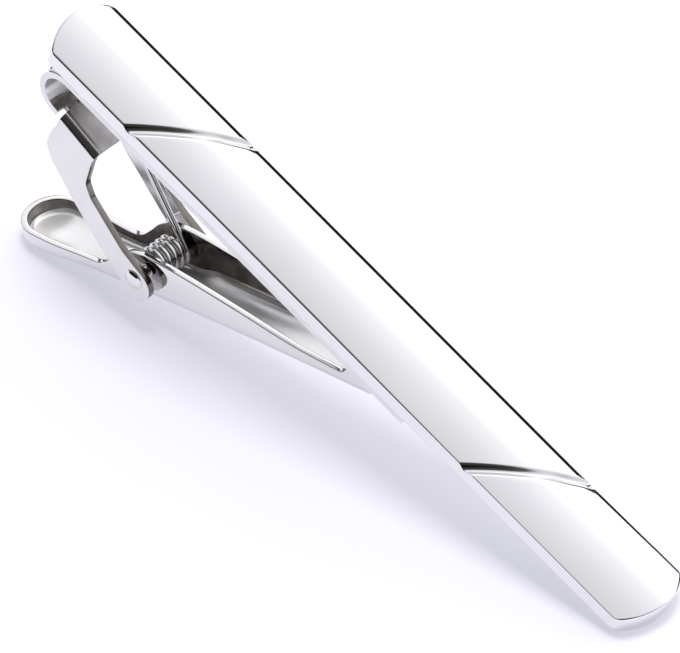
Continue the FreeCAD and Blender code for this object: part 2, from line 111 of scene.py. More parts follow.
def pchip(xs, ys):
    """Smooth curve through the points that never overshoots them."""
    xs, ys = np.asarray(xs, float), np.asarray(ys, float)
    h, dl = np.diff(xs), np.diff(ys) / np.diff(xs)
    m = np.zeros(len(xs))
    for i in range(1, len(xs) - 1):
        if dl[i - 1] * dl[i] > 0:
            w1, w2 = 2 * h[i] + h[i - 1], h[i] + 2 * h[i - 1]
            m[i] = (w1 + w2) / (w1 / dl[i - 1] + w2 / dl[i])
    m[0], m[-1] = dl[0], dl[-1]

    def f(x):
        x = np.clip(np.asarray(x, float), xs[0], xs[-1])
        i = np.clip(np.searchsorted(xs, x) - 1, 0, len(xs) - 2)
        t = (x - xs[i]) / h[i]
        return (ys[i] * (1 + 2 * t) * (1 - t) ** 2 + m[i] * h[i] * t * (1 - t) ** 2 +
                ys[i + 1] * t * t * (3 - 2 * t) + m[i + 1] * h[i] * t * t * (t - 1))
    return f


def three_point_arc(a, b, c):
    A, B = 2 * (b[0] - a[0]), 2 * (b[1] - a[1])
    C, D = 2 * (c[0] - a[0]), 2 * (c[1] - a[1])
    e = b[0] ** 2 - a[0] ** 2 + b[1] ** 2 - a[1] ** 2
    f = c[0] ** 2 - a[0] ** 2 + c[1] ** 2 - a[1] ** 2
    det = A * D - B * C
    x, z = (e * D - B * f) / det, (A * f - e * C) / det
    r = math.hypot(x - a[0], z - a[1])
    up = 1.0 if b[1] > z else -1.0
    return lambda u: z + up * np.sqrt(np.maximum(r * r - (np.asarray(u, float) - x) ** 2, 0.0))


def round_poly(points, radii, per=8):
    """Open polyline with rounded corners."""
    out = [points[0]]
    for k in range(1, len(points) - 1):
        p, a, b = (np.array(q, float) for q in (points[k], points[k - 1], points[k + 1]))
        da, db = a - p, b - p
        la, lb = np.linalg.norm(da), np.linalg.norm(db)
        da, db = da / la, db / lb
        ang = math.acos(max(-1.0, min(1.0, float(da @ db))))
        if radii[k] <= 0 or ang > math.pi - 1e-3:
            out.append(tuple(p))
            continue
        reach = min(radii[k] / math.tan(ang / 2), 0.48 * la, 0.48 * lb)
        q0, q1 = p + da * reach, p + db * reach
        for i in range(per + 1):
            t = i / per
            out.append(tuple((1 - t) ** 2 * q0 + 2 * t * (1 - t) * (p * 0.92 + (q0 + q1) * 0.04) + t * t * q1))
    out.append(points[-1])
    return np.array(out, float)


def resample(poly, n):
    s = np.concatenate([[0], np.cumsum(np.linalg.norm(np.diff(poly, axis=0), axis=1))])
    t = np.linspace(0, s[-1], n)
    return np.stack([np.interp(t, s, poly[:, 0]), np.interp(t, s, poly[:, 1])], axis=1)


# ------------------------------------------------------------------ materials
def new_material(name):
    m = bpy.data.materials.new(name)
    m.use_nodes = True
    nt = m.node_tree
    b = nt.nodes["Principled BSDF"]
    return m, nt, b


def plating(name, colour, rough, spread, peel, peel_scale, grain, tint=0.03, ao_shade_colour=None, mottle=90.0, metal=1.0):
    """Bright plating: mirror finish with faint handling haze, a soft orange peel and fine polishing marks."""
    m, nt, b = new_material(name)
    b.inputs["Metallic"].default_value = metal
    co = nt.nodes.new("ShaderNodeTexCoord")
    haze = nt.nodes.new("ShaderNodeTexNoise")
    haze.inputs["Scale"].default_value = 260.0
    haze.inputs["Detail"].default_value = 5.0
    nt.links.new(co.outputs["Object"], haze.inputs["Vector"])
    rr = nt.nodes.new("ShaderNodeMapRange")
    rr.inputs["From Min"].default_value, rr.inputs["From Max"].default_value = 0.32, 0.70
    rr.inputs["To Min"].default_value, rr.inputs["To Max"].default_value = rough, rough + spread
    nt.links.new(haze.outputs["Fac"], rr.inputs["Value"])
    nt.links.new(rr.outputs["Result"], b.inputs["Roughness"])
    tone = nt.nodes.new("ShaderNodeTexNoise")
    tone.inputs["Scale"].default_value = mottle
    tone.inputs["Detail"].default_value = 3.0
    nt.links.new(co.outputs["Object"], tone.inputs["Vector"])
    ramp = nt.nodes.new("ShaderNodeValToRGB")
    lo = [c * (1.0 - tint) for c in colour]
    ramp.color_ramp.elements[0].position, ramp.color_ramp.elements[1].position = 0.35, 0.68
    ramp.color_ramp.elements[0].color = (lo[0] * 1.01, lo[1], lo[2] * 0.985, 1)
    ramp.color_ramp.elements[1].color = (*colour, 1)
    nt.links.new(tone.outputs["Fac"], ramp.inputs["Fac"])
    if ao_shade_colour is None:
        nt.links.new(ramp.outputs["Color"], b.inputs["Base Color"])
    else:
        # painted shade: where ambient occlusion finds the folded sheet shading itself, the base colour is multiplied
        # down towards the given shade colour
        ao = nt.nodes.new("ShaderNodeAmbientOcclusion")
        ao.samples = 8
        ao.only_local = True
        ao.inputs["Distance"].default_value = 0.0036
        shade = nt.nodes.new("ShaderNodeValToRGB")
        el = shade.color_ramp.elements
        el[0].position, el[1].position = 0.38, 0.86
        el[0].color, el[1].color = (*ao_shade_colour, 1), (1, 1, 1, 1)
        nt.links.new(ao.outputs["AO"], shade.inputs["Fac"])
        mul = nt.nodes.new("ShaderNodeMix")
        mul.data_type, mul.blend_type = "RGBA", "MULTIPLY"
        mul.inputs["Factor"].default_value = 1.0
        nt.links.new(ramp.outputs["Color"], mul.inputs["A"])
        nt.links.new(shade.outputs["Color"], mul.inputs["B"])
        nt.links.new(mul.outputs["Result"], b.inputs["Base Color"])
    wave = nt.nodes.new("ShaderNodeTexNoise")
    wave.inputs["Scale"].default_value = peel_scale
    wave.inputs["Detail"].default_value = 1.5
    nt.links.new(co.outputs["Object"], wave.inputs["Vector"])
    b1 = nt.nodes.new("ShaderNodeBump")
    b1.inputs["Strength"].default_value = peel
    b1.inputs["Distance"].default_value = 0.0001
    nt.links.new(wave.outputs["Fac"], b1.inputs["Height"])
    last = b1
    if grain > 0:
        stretch = nt.nodes.new("ShaderNodeMapping")
        stretch.inputs["Rotation"].default_value = (0.0, LEAN, 0.0)
        stretch.inputs["Scale"].default_value = (900.0, 9000.0, 9000.0)
        nt.links.new(co.outputs["Object"], stretch.inputs["Vector"])
        lines = nt.nodes.new("ShaderNodeTexNoise")
        lines.inputs["Scale"].default_value = 1.0
        lines.inputs["Detail"].default_value = 2.0
        nt.links.new(stretch.outputs["Vector"], lines.inputs["Vector"])
        b2 = nt.nodes.new("ShaderNodeBump")
        b2.inputs["Strength"].default_value = grain
        b2.inputs["Distance"].default_value = 0.00001
        nt.links.new(lines.outputs["Fac"], b2.inputs["Height"])
        nt.links.new(b1.outputs["Normal"], b2.inputs["Normal"])
        last = b2
    nt.links.new(last.outputs["Normal"], b.inputs["Normal"])
    return m


CHROME_BAR = plating("mat_bar_polish", (0.815, 0.815, 0.828), 0.015, 0.02, 0.006, 400.0, 0.008)
# painted shade: ambient occlusion darkens the clasp's base colour down to (0.27, 0.255, 0.24) inside the fold
CHROME_CLASP = plating("mat_clasp_plate_painted_shade", (0.76, 0.755, 0.76), 0.04, 0.06, 0.03, 900.0, 0.015, 0.09, (0.27, 0.255, 0.24), 700.0)
CHROME_LEVER = plating("mat_lever_plate", (0.78, 0.775, 0.78), 0.035, 0.045, 0.012, 600.0, 0.010)
CHROME_RIVET = plating("mat_rivet_plate", (0.78, 0.78, 0.79), 0.04, 0.05, 0.02, 1500.0, 0.0)
# painted shade: the channel's walls get a dark base colour standing in for the shade and dark reflections inside the
# channel; the random mottling and roughness are their own
LEVER_IN = plating("mat_lever_inside_painted_shade", (0.31, 0.288, 0.266), 0.16, 0.10, 0.05, 900.0, 0.0, 0.42, None, 900.0)
# painted reflection: the channel's floor gets a whiter, partly diffuse colour standing in for the reflected bright tent
LEVER_FLOOR = plating("mat_lever_floor_painted_reflection", (0.96, 0.955, 0.96), 0.20, 0.07, 0.02, 700.0, 0.0, 0.04, None, 500.0, 0.62)
SHEARED = plating("mat_sheared_edge", (0.27, 0.248, 0.228), 0.20, 0.16, 0.12, 2600.0, 0.04, 0.3)
# painted shade: the return leg's tab gets a darker base colour than the clasp, plus a mild ambient-occlusion painted
# shade; its rougher finish and random mottling are its own
LEG = plating("mat_leg_plate_painted_shade", (0.66, 0.645, 0.63), 0.26, 0.16, 0.10, 2400.0, 0.03, 0.22, (0.80, 0.78, 0.76), 900.0)
EAR = plating("mat_ear_plate", (0.77, 0.765, 0.765), 0.10, 0.06, 0.02, 900.0, 0.015, 0.05, None, 500.0)
WIRE = plating("mat_spring_wire", (0.74, 0.735, 0.74), 0.13, 0.08, 0.015, 2500.0, 0.012)
SOLDER = plating("mat_solder", (0.72, 0.72, 0.735), 0.24, 0.14, 0.12, 1800.0, 0.0, 0.10)


def paint_shade_along_x(m, x0, x1, low):
    """Painted shade: the plating's base colour darkens smoothly from x0 to x1 along the clip."""
    nt = m.node_tree
    base = nt.nodes["Principled BSDF"].inputs["Base Color"]
    src = base.links[0].from_socket
    co, sep = nt.nodes.new("ShaderNodeTexCoord"), nt.nodes.new("ShaderNodeSeparateXYZ")
    nt.links.new(co.outputs["Object"], sep.inputs[0])
    mr = nt.nodes.new("ShaderNodeMapRange")
    mr.interpolation_type = "SMOOTHSTEP"
    mr.inputs["From Min"].default_value, mr.inputs["From Max"].default_value = x0, x1
    mr.inputs["To Min"].default_value, mr.inputs["To Max"].default_value = 1.0, low
    nt.links.new(sep.outputs["X"], mr.inputs["Value"])
    mul = nt.nodes.new("ShaderNodeMix")
    mul.data_type, mul.blend_type = "RGBA", "MULTIPLY"
    mul.inputs["Factor"].default_value = 1.0
    nt.links.new(src, mul.inputs["A"])
    nt.links.new(mr.outputs["Result"], mul.inputs["B"])
    nt.links.new(mul.outputs["Result"], base)


# painted shade: the lever's outside darkens to 0.90 towards the jaw tip
paint_shade_along_x(CHROME_LEVER, -0.010, 0.003, 0.90)


def finish_piece(ob, mat, node, body):
    ob.data.materials.clear()
    ob.data.materials.append(mat)
    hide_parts(node)
    if body:
        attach(ob, body)


# ------------------------------------------------------------------ 1. front bar
L, MID, W, SIDE, CROWN = 58.5, 0.12, 6.34, 1.4, 0.50
END = 1.3
R_END = (W * W / 4 + END * END) / (2 * END)
R_CROWN = W * W / (8 * CROWN) + CROWN / 2
R_CORNER = 0.30
CUT_ANGLE = math.radians(45.5)
CUTS = (-17.15, 16.25)
CUT_D, CUT_BACK, CUT_FORE = 0.26, 0.44, 0.60      # depth, and reach of the steep and of the shallow wall


def crown_z(y):
    return CROWN - (R_CROWN - np.sqrt(R_CROWN ** 2 - np.asarray(y, float) ** 2))


def end_short(y):
    """How far the rounded end falls back from the bar's tip at y; its corners are broken."""
    y = np.clip(np.abs(y), 0, W / 2)
    q = np.clip((y - (W / 2 - R_CORNER)) / R_CORNER, 0, 1)
    return R_END - np.sqrt(R_END ** 2 - y * y) + 0.7 * R_CORNER * (1 - np.sqrt(1 - q * q))


def cut_profile(t):
    reach = CUT_BACK if t < 0 else CUT_FORE
    return CUT_D * 0.5 * (1 + math.cos(math.pi * min(abs(t) / reach, 1.0)))


# columns follow the slant of the cuts, so each cut lies along the mesh
cols = list(np.arange(-29.0, 29.001, 0.5))
for c in CUTS:
    cols = [v for v in cols if abs(v - c) > 0.85]
    cols += list(c + np.linspace(-0.78, 0.78, 53))
cols = np.array(sorted(cols))
slant = 1.0 / math.tan(CUT_ANGLE)


def smooth01(t):
    t = np.clip(t, 0, 1)
    return t * t * (3 - 2 * t)


R_FOOT = 0.26     # rounding along the bottom edges
BREAK = 0.14      # width of the soft break along the long top edges
UNIT_TOP = np.linspace(0.0, 1.0, 65)
ROLL = ((0.004, 0.0015), (0.036, 0.0167), (0.074, 0.0356), (0.112, 0.0556), (0.126, 0.074), (0.136, 0.108), (0.140, 0.16))


def bar_section(g, inset, x, xf):
    """Closed section loop (y, z) at x (xf on the far edge), lowered by g at the top; inset = (top, bottom) draws it in.
    The break along the long edges is polished thinner towards the bar's free end."""
    near = 1 - 0.70 * smooth01((x + 4.0) / 28.0)
    far = (2.9 - 2.4 * float(np.clip((xf - 18.5) / 10.5, 0, 1))) * (1 - 0.7 * float(smooth01(3 * g / CUT_D)))
    ease = 0.08 * smooth01((xf - 12.0) / 16.0)
    yn, yf = W / 2 - BREAK * near, W / 2 - BREAK * far
    top = -yn + (yn + yf) * UNIT_TOP

    def face_z(y):
        z = float(crown_z(y))
        # the cutter rode a little higher over the crown
        return (z + ease * (CROWN - z) if y > 0 else z) - g * (1 - 0.30 * float(smooth01((y + 1.2) / 1.8) * (1 - smooth01((y - 0.7) / 1.2))))
    pts = [(y, face_z(y)) for y in top]

    def down(f, ye, sign):
        # soft break: a short facet at about 28 degrees, then a tight roll into the side
        z0 = face_z(sign * ye)
        out = [(ye + f * a, z0 - f * b) for a, b in ROLL]
        out += [(W / 2, z0 - 0.16 * f - 0.14), (W / 2, -0.80), (W / 2, -SIDE + R_FOOT + 0.07)]
        out += [(W / 2 - R_FOOT * (1 - math.cos(a)), -SIDE + R_FOOT - R_FOOT * math.sin(a)) for a in np.radians([0, 22, 45, 68, 90])]
        return out
    pts += down(far, yf, 1)
    low_y = np.linspace(W / 2 - R_FOOT, -(W / 2 - R_FOOT), len(UNIT_TOP))[1:-1]
    pts += [(y, -SIDE) for y in low_y]
    pts += [(-y, z) for y, z in reversed(down(near, yn, -1))]
    pts = np.array(pts)
    if inset is not None:
        zc = -0.50
        fine = slim(pts[:, 0], x)
        drawn = np.where(pts[:, 1] > zc, inset[0] * fine, inset[1])
        pts[:, 0] *= 1 - inset[0] * fine / (W / 2)
        pts[:, 1] = zc + (pts[:, 1] - zc) * (1 - drawn / 0.90)
    return pts


def slim(y, sgn):
    """The facet round an end narrows towards the far corner, and is broader at the free end."""
    return (1 - 0.70 * smooth01((np.asarray(y) + 0.2) / 2.0)) if sgn < 0 else (1.6 - 1.3 * smooth01((np.asarray(y) + 0.8) / 2.4))


rows = []
EDGE_END = 0.25
for x0 in cols:
    k = 1 - smooth01((abs(x0) - 20.6) / 7.4)
    e = smooth01((abs(x0) - 21.5) / 7.5)
    tt = [(x0 - c) * math.sin(CUT_ANGLE) for c in CUTS]
    g = sum(cut_profile(t) for t in tt)
    sgn = 1.0 if x0 > 0 else -1.0
    sec = bar_section(g, None, x0, x0 + k * slant * W / 2)
    x = x0 * (1 - e) + sgn * e * (L / 2 - EDGE_END) * abs(x0) / 29.0 + k * slant * sec[:, 0] - sgn * e * end_short(sec[:, 0]) + MID * e
    rows.append(np.stack([x, sec[:, 0], sec[:, 1]], axis=1))


def end_rows(sgn):
    out = []
    # way from the end, draw-in at the top (a fine facet at about 42 degrees) and at the bottom (a full round)
    for d, i_top, i_low in ((0.20, 0.0, 0.008), (0.165, 0.0, 0.020), (0.092, 0.004, 0.062), (0.066, 0.027, 0.085), (0.040, 0.052, 0.112),
                            (0.018, 0.080, 0.150), (0.005, 0.115, 0.195), (0.0, 0.160, 0.240)):
        sec = bar_section(0.0, (i_top, i_low), sgn * L / 2, sgn * L / 2)
        back = d * (slim(sec[:, 0], sgn) if d < 0.1 else 1.0)
        x = MID + sgn * (L / 2 - end_short(sec[:, 0]) - back)
        out.append(np.stack([x, sec[:, 0], sec[:, 1]], axis=1))
    return out


rows = list(reversed(end_rows(-1))) + rows + end_rows(1)
n_loop = len(rows[0])
verts = np.concatenate(rows)
faces = grid_faces(len(rows), n_loop, close_cols=True)
n_top = len(UNIT_TOP)
n_side = 15
for base in (0, (len(rows) - 1) * n_loop):
    # end caps: top points joined to the bottom ones straight below them
    bottom = [n_top + n_side - 1 + i for i in range(n_top)]
    tops = list(range(n_top - 1, -1, -1))
    for i in range(n_top - 1):
        faces.append((base + tops[i], base + tops[i + 1], base + bottom[i + 1], base + bottom[i]))
    faces.append(tuple(base + j for j in range(n_top - 1, n_top + n_side)))
    faces.append(tuple(base + j % n_loop for j in range(n_top + n_side + n_top - 2, n_loop + 1)))
bar = make("bar_polished", verts, faces)
weighted(bar)
finish_piece(bar, CHROME_BAR, "front_bar", ROOT)

# ------------------------------------------------------------------ 2. clasp bracket
T = 0.5
TOP = -SIDE - 0.05
R_IN, R_OUT = 1.48, 1.98
R_MID = (R_IN + R_OUT) / 2
BX, BZ = -26.0, TOP - R_OUT
SLOPE = math.radians(10.0)
EAR_AX, LX = -25.45, -21.85
EAR_MID = 2.80
BEND = 0.58
RELIEF, RELIEF_IN = 0.35, 2.18
leg0 = (BX + R_MID * math.cos(math.radians(260)), BZ + R_MID * math.sin(math.radians(260)))


def leg_mid(x):
    return leg0[1] - (x - leg0[0]) * math.tan(SLOPE)


path = [(x, TOP - T / 2) for x in np.linspace(7.4, BX, 60)]
path += [(BX + R_MID * math.cos(a), BZ + R_MID * math.sin(a)) for a in np.radians(np.linspace(90, 260, 41))[1:]]
path += [(x, leg_mid(x)) for x in (-26.15, -25.98, EAR_AX - RELIEF, EAR_AX - RELIEF / 2, EAR_AX)]
inner_y = list(np.linspace(-RELIEF_IN, RELIEF_IN, 25))
strip_y = [-3.0, -2.88, -2.62] + inner_y + [2.62, 2.88, 3.0]
verts, faces = [], []
for x, z in path:
    for y in strip_y:
        verts.append((x, y, z))
nc = len(strip_y)
for i in range(len(path) - 1):
    for j in range(nc - 1):
        out_y = abs(strip_y[j] + strip_y[j + 1]) / 2 > RELIEF_IN
        if i >= len(path) - 3 and out_y:
            continue
        a = i * nc + j
        faces.append((a, a + 1, a + nc + 1, a + nc))

# the return leg's tab and the two ears share columns f = 0 (clasp end) .. 1 (free edge)
F = np.linspace(0, 1, 25)
tab_x = EAR_AX + F * (LX - EAR_AX)
eye = (-15.25, -13.48)
eye_r = 1.32


def eye_at(deg):
    return (eye[0] + eye_r * math.cos(math.radians(deg)), eye[1] + eye_r * math.sin(math.radians(deg)))


top_l = (EAR_AX, leg_mid(EAR_AX) - BEND)
top_r = (LX, leg_mid(LX) - BEND)
left_a = round_poly([top_l, (-25.45, -6.2), (-25.70, -7.30), (-25.65, -8.75), (-24.85, -9.75), (-23.9, -10.36)],
                    [0, 0.6, 0.9, 0.9, 0.9, 0])
left_b = round_poly([(-23.9, -10.36), (-22.20, -11.45), (-18.60, -13.36), eye_at(244)], [0, 3.0, 3.0, 0])
right_a = round_poly([top_r, (-21.85, -7.0), (-21.70, -8.95), (-20.9, -9.82), (-20.5, -10.023)], [0, 0.6, 0.9, 0.9, 0])
right_b = round_poly([(-20.5, -10.023), (-17.20, -11.70), eye_at(78)], [0, 3.0, 0])
left_c = np.array([eye_at(a) for a in np.linspace(244, 340, 40)])
right_c = np.array([eye_at(a) for a in np.linspace(78, -20, 40)])
ear_rows = []
for la, ra, n in ((left_a, right_a, 30), (left_b, right_b, 30), (left_c, right_c, 26)):
    ls, rs = resample(la, n), resample(ra, n)
    start = 0 if not ear_rows else 1
    for i in range(start, n):
        ear_rows.append(np.outer(1 - F, ls[i]) + np.outer(F, rs[i]))
sheet = []
for sign in (-1, 1):
    part = [[(x, sign * EAR_MID, z) for x, z in row] for row in reversed(ear_rows[1:])]
    for a in np.radians(np.linspace(90, 0, 10)):
        part.append([(x, sign * (EAR_MID - BEND + BEND * math.sin(a)), leg_mid(x) - BEND * (1 - math.cos(a))) for x in tab_x])
    if sign < 0:
        sheet += part
        for y in inner_y:
            sheet.append([(x, y, leg_mid(x)) for x in tab_x])
    else:
        sheet += list(reversed(part))
base = len(verts)
for row in sheet:
    verts += row
nf = len(F)
for i in range(len(sheet) - 1):
    for j in range(nf - 1):
        a = base + i * nf + j
        faces.append((a, a + 1, a + nf + 1, a + nf))
bracket = make("clasp_folded", np.array(verts), faces, merge=1.5e-6)
m = bracket.modifiers.new("sheet", "SOLIDIFY")
m.thickness, m.offset, m.use_even_offset = T / 1000.0, 0.0, True
m.material_offset_rim = 1
m = bracket.modifiers.new("sheared_edge", "BEVEL")
m.width, m.segments, m.limit_method, m.angle_limit = 0.00007, 3, "ANGLE", math.radians(50)
weighted(bracket)
finish_piece(bracket, CHROME_CLASP, "clasp_bracket", ROOT)
# the strip's long edges stay bright clasp plating; the ears, sheared edges included, get the rougher ear plating, and
# the return leg's tab a rougher plating whose darker base colour is painted shade, since the tab lies in the bar's
# shade
for mat in (CHROME_CLASP, EAR, SHEARED, LEG, SHEARED):
    bracket.data.materials.append(mat)
for poly in bracket.data.polygons:
    cx, cz = poly.center.x * 1000 - REST_X, poly.center.z * 1000 - REST_Z
    x, z = cx * CL - cz * SL, cx * SL + cz * CL
    if x > EAR_AX - 0.02 and z < leg_mid(x) + 0.3:
        poly.material_index = 2 if abs(poly.center.y) * 1000 > EAR_MID - BEND + 0.02 else 4

# ------------------------------------------------------------------ 3. clip lever
HW, WALL, FLOOR = 2.15, 0.5, 0.5
U0, U1 = -13.35, 21.8
THUMB, FLARE = 2.40, (-9.6, -5.0)
R_LOW, R_LOW_IN, R_RIM = 0.85, 0.35, 0.08
low_w = three_point_arc((U0, -2.413), (7.0, -2.10), (U1, -2.35))
rim_w = pchip([-13.35, -10.6, -7.6, -4.9, -4.1, -3.0, -1.9, -0.8, 0.4, 2.2, 4.0, 6.9, 9.8, 12.6, 15.0, 17.3, 19.1, 19.55, 20.1, 21.8],
              [-0.58, -0.80, -0.90, -0.95, -0.72, 0.08, 1.02, 1.47, 1.56, 1.43, 1.20, 0.74, 0.24, -0.28, -0.66, -0.86,
               -0.97, -0.60, -0.153, -0.153])
ut, ue = U0 + THUMB, U1 - HW


def half_at(u):
    return HW + (THUMB - HW) * float(smooth01((FLARE[1] - u) / (FLARE[1] - FLARE[0])))


def dish_at(u):
    """Rise of the channel's floor from its middle to its walls: a U section in the jaw, a shallow scoop at the thumb end."""
    return 0.46 * float(smooth01((u - 1.2) / 2.6) * (1 - 0.9 * smooth01((u - 8.0) / 10.0))) + 0.25 * float(smooth01((-6.3 - u) / 2.5))


line = []
us = list(np.arange(ut, ue, 0.25)) + [ue]
# outline points with the spine point each draws in to, and its distance
for u in reversed(us):
    line.append(((u, -half_at(u)), (u, 0.0), half_at(u)))
for a in np.radians(np.linspace(-90, -270, 41))[1:-1]:
    line.append(((ut + THUMB * math.cos(a), THUMB * math.sin(a)), (ut, 0.0), THUMB))
for u in us:
    line.append(((u, half_at(u)), (u, 0.0), half_at(u)))
rc = 0.4
tip = [(u, HW) for u in np.linspace(ue, U1 - rc, 12)[1:]]
tip += [(U1 - rc + rc * math.sin(a), HW - rc + rc * math.cos(a)) for a in np.radians([15, 30, 45, 60, 75])]
tip += [(U1, y) for y in np.linspace(HW - rc, -(HW - rc), 17)]
tip += [(U1 - rc + rc * math.cos(a), -(HW - rc) - rc * math.sin(a)) for a in np.radians([15, 30, 45, 60, 75])]
tip += [(u, -HW) for u in np.linspace(U1 - rc, ue, 12)[:-1]]
line += [(p, (ue, 0.0), HW) for p in tip]
profiles = []
for (pu, py), (cu, cy), hw in line:
    zr = float(rim_w(pu))
    def at(dd):
        f = dd / hw
        return pu + (cu - pu) * f, py + (cy - py) * f
    prof = []
    for dd in (hw, hw * 0.8, hw * 0.62):
        u, y = at(dd)
        prof.append((u, y, float(low_w(u))))
    for a in np.radians(np.linspace(0, 90, 11)):
        u, y = at(R_LOW * (1 - math.sin(a)))
        prof.append((u, y, float(low_w(u)) + R_LOW * (1 - math.cos(a))))
    u, y = at(0.0)
    z_low = float(low_w(u)) + R_LOW
    for s in (0.35, 0.7):
        prof.append((u, y, z_low + (zr - R_RIM - z_low) * s))
    for a in np.radians([0, 30, 60, 90]):
        u, y = at(R_RIM * (1 - math.cos(a)))
        prof.append((u, y, zr - R_RIM * (1 - math.sin(a))))
    for a in np.radians([90, 60, 30, 0]):
        u, y = at(WALL - R_RIM * (1 - math.cos(a)))
        prof.append((u, y, zr - R_RIM * (1 - math.sin(a))))
    u, y = at(WALL)
    dish = dish_at(pu)
    z_in = float(low_w(u)) + FLOOR + R_LOW_IN + dish
    for s in (0.7, 0.35):
        prof.append((u, y, z_in + (zr - R_RIM - z_in) * s))
    for a in np.radians(np.linspace(90, 0, 8)):
        dd = WALL + R_LOW_IN * (1 - math.sin(a))
        u, y = at(dd)
        prof.append((u, y, float(low_w(u)) + FLOOR + R_LOW_IN * (1 - math.cos(a)) + dish * ((hw - dd) / (hw - WALL)) ** 3))
    for dd in (hw * 0.45, hw * 0.55, hw * 0.65, hw * 0.75, hw * 0.87, hw):
        u, y = at(dd)
        prof.append((u, y, float(low_w(u)) + FLOOR + dish * ((hw - dd) / (hw - WALL)) ** 3))
    profiles.append(prof)
npf = len(profiles[0])
verts = lever_to_bar(np.concatenate([np.array(p) for p in profiles]))
lever = make("lever_channel", verts, grid_faces(len(profiles), npf, close_rows=True), merge=2e-6)
weighted(lever)
finish_piece(lever, CHROME_LEVER, "clip_lever", LEVER)
# the polishing wheel reaches the outside; the channel keeps a rougher barrel finish, but the walls' dark base colour is
# painted shade and dark reflection, and the floor's whiter, partly diffuse colour is a painted reflection of the bright
# tent
lever.data.materials.append(LEVER_IN)
lever.data.materials.append(LEVER_FLOOR)
for poly in lever.data.polygons:
    cx, cz = poly.center.x * 1000 - REST_X, poly.center.z * 1000 - REST_Z
    bx, bz = cx * CL - cz * SL - PIN_X, cx * SL + cz * CL - PIN_Z
    u, w, y = bx * CA + bz * SA, -bx * SA + bz * CA, abs(poly.center.y * 1000)
    reach = math.hypot(u - ut, y) - THUMB if u < ut else max(y - half_at(u), u - U1)
    above = w - float(low_w(u)) - FLOOR
    if reach < -WALL + 0.03 and above > -0.05:
        poly.material_index = 2 if above < 0.22 + 0.8 * dish_at(u) else 1

# ------------------------------------------------------------------ 4. pivot rivet
def lathe(name, prof, seg=64):
    """prof: (radius, y) pairs about the rivet's axis."""
    v = []
    for r, y in prof:
        for k in range(seg):
            a = 2 * math.pi * k / seg
            v.append((PIN_X + r * math.cos(a), y, PIN_Z + r * math.sin(a)))
    return make(name, np.array(v), grid_faces(len(prof), seg, close_cols=True), merge=1e-7)


EO, HR, HH, PR = 3.05, 0.76, 0.30, 0.55
cap = []
for t in np.linspace(0, 1, 10):
    a = t * math.radians(62)
    cap.append((HR * 0.90 * math.sin(a) / math.sin(math.radians(62)),
                EO + 0.10 + (HH - 0.10) * (math.cos(a) - math.cos(math.radians(62))) / (1 - math.cos(math.radians(62)))))
cap += [(HR * 0.965, EO + 0.075), (HR, EO + 0.035), (HR, EO + 0.002), (PR, EO + 0.002)]
prof = [(max(r, 0.0005), -y) for r, y in cap] + [(max(r, 0.0005), y) for r, y in reversed(cap)]
rivet = lathe("rivet_headed", prof)
weighted(rivet)
finish_piece(rivet, CHROME_RIVET, "pivot_rivet", ROOT)

# ------------------------------------------------------------------ 5. torsion spring
CR, WR, PITCH, TURNS = 1.07, 0.25, 0.56, 4.0
LEG_UP, UP_SLOPE, LEG_LOW, LOW_DIP = 10.02, 37.4, 4.2, 4.4
low_dir = math.radians(180.0 + 31.3 + LOW_DIP)
up_dir = math.radians(180.0 - UP_SLOPE)
begin = low_dir + math.pi / 2
sweep = (up_dir - math.pi / 2 - begin) % (2 * math.pi) + 2 * math.pi * TURNS
ease = math.radians(40.0)
per = PITCH / (2 * math.pi)
rise = per * (sweep - ease)


def coil(s):
    if s < ease:
        y = per * s * s / (2 * ease)
    elif s > sweep - ease:
        y = rise - per * (sweep - s) ** 2 / (2 * ease)
    else:
        y = per * (s - ease / 2)
    return np.array([CR * math.cos(begin + s), y - rise / 2, CR * math.sin(begin + s)])


centre = np.array([PIN_X, 0, PIN_Z])
p0, p1 = coil(0), coil(sweep)
way_low = np.array([math.cos(low_dir), 0, math.sin(low_dir)])
way_up = np.array([math.cos(up_dir), 0, math.sin(up_dir)])
pts = [p0 + way_low * LEG_LOW * t for t in np.linspace(1, 0, 19)[:-1]]
n_coil = int(math.degrees(sweep) / 7.5)
pts += [coil(sweep * k / n_coil) for k in range(n_coil + 1)]
pts += [p1 + way_up * LEG_UP * t for t in np.linspace(0, 1, 41)[1:]]
pts = np.array(pts) + centre
tan = np.gradient(pts, axis=0)
tan /= np.linalg.norm(tan, axis=1)[:, None]
side = np.cross(tan[0], [0, 1, 0]); side /= np.linalg.norm(side)
seg = 20
rings = []
for k in range(len(pts)):
    side = side - tan[k] * (side @ tan[k]); side /= np.linalg.norm(side)
    other = np.cross(tan[k], side)
    for a in np.linspace(0, 2 * math.pi, seg, endpoint=False):
        rings.append(pts[k] + WR * (math.cos(a) * side + math.sin(a) * other))
verts = list(rings)
faces = grid_faces(len(pts), seg, close_cols=True)
for base, k, sgn in ((0, 0, -1), ((len(pts) - 1) * seg, len(pts) - 1, 1)):
    # cut ends, very slightly rounded
    last = list(range(base, base + seg))
    for r, out in ((0.85, 0.02), (0.5, 0.03)):
        ring = []
        for j in range(seg):
            verts.append(pts[k] + (rings[base + j] - pts[k]) * r + tan[k] * sgn * out)
            ring.append(len(verts) - 1)
        for j in range(seg):
            faces.append((last[j], last[(j + 1) % seg], ring[(j + 1) % seg], ring[j]))
        last = ring
    faces.append(tuple(last))
spring = make("spring_wound", np.array(verts), faces, merge=1e-7)
spring.data.materials.append(WIRE)
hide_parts("torsion_spring")
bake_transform(spring)

# ------------------------------------------------------------------ 6. solder seam
# the film between bar and strip, and the hollow bead that it draws into the gap at the bend
def arc_top(x):
    return BZ + math.sqrt(R_OUT ** 2 - (x - BX) ** 2)


